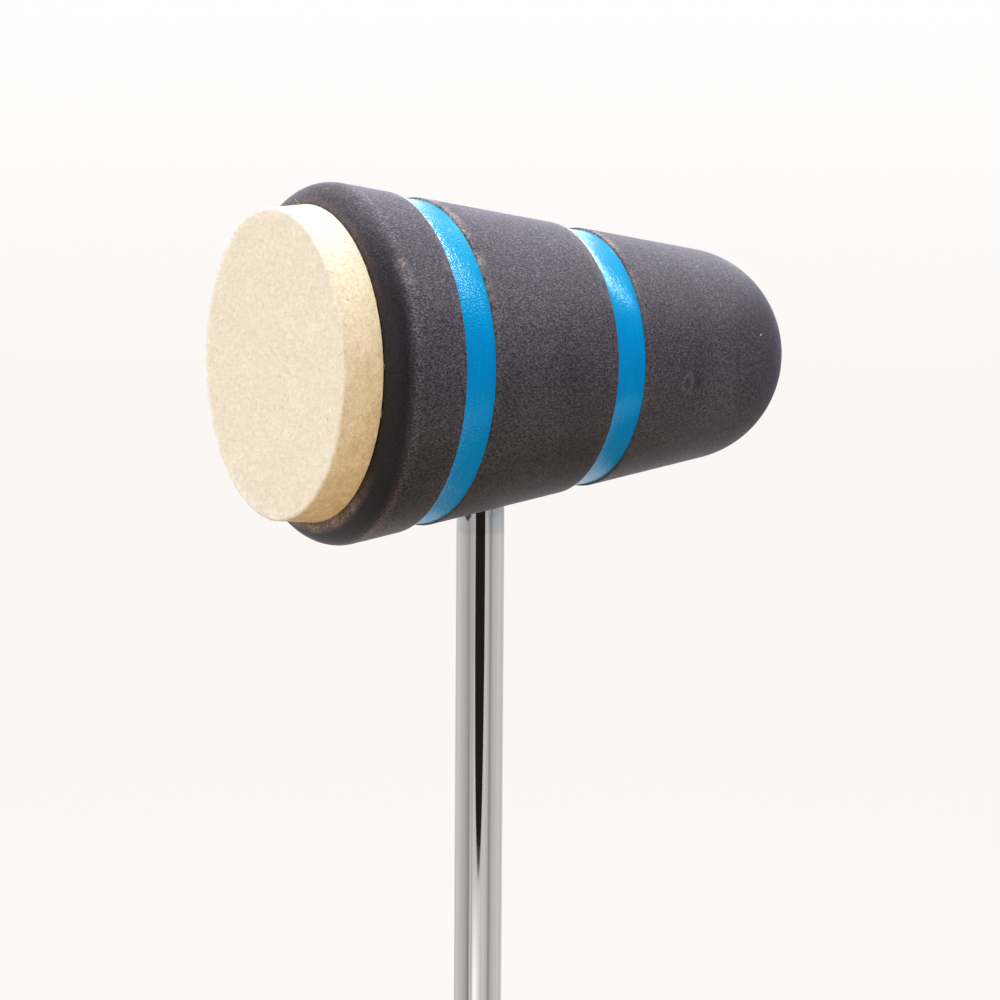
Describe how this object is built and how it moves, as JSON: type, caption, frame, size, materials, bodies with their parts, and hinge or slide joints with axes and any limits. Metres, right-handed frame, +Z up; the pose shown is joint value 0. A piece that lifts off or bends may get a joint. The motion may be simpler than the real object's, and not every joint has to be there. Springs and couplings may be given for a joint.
{
  "type": "bass drum beater",
  "caption": "Bass drum beater with a turned cone-shaped wooden head, a felt striking pad, painted stripes and a straight round steel shaft for a pedal clamp.",
  "frame": {"origin": "centre of the shaft's free lower end, on the shaft's axis", "axes": "+Z up along the shaft towards the head, -Y the way the felt faces along the head's turning axis, X across the head"},
  "size_m": [0.0582, 0.0954, 0.2224],
  "materials": {
    "stained_wood": "matte",
    "blue_enamel": "satin",
    "felt": "matte",
    "adhesive": "matte",
    "chromed_steel": "polished",
    "epoxy": "satin"
  },
  "bodies": {
    "root": {"head": "stained_wood", "front_stripe": "blue_enamel", "rear_stripe": "blue_enamel", "felt_pad": "felt", "felt_adhesive": "adhesive", "shaft": "chromed_steel", "shaft_epoxy": "epoxy"}
  },
  "joints": []
}
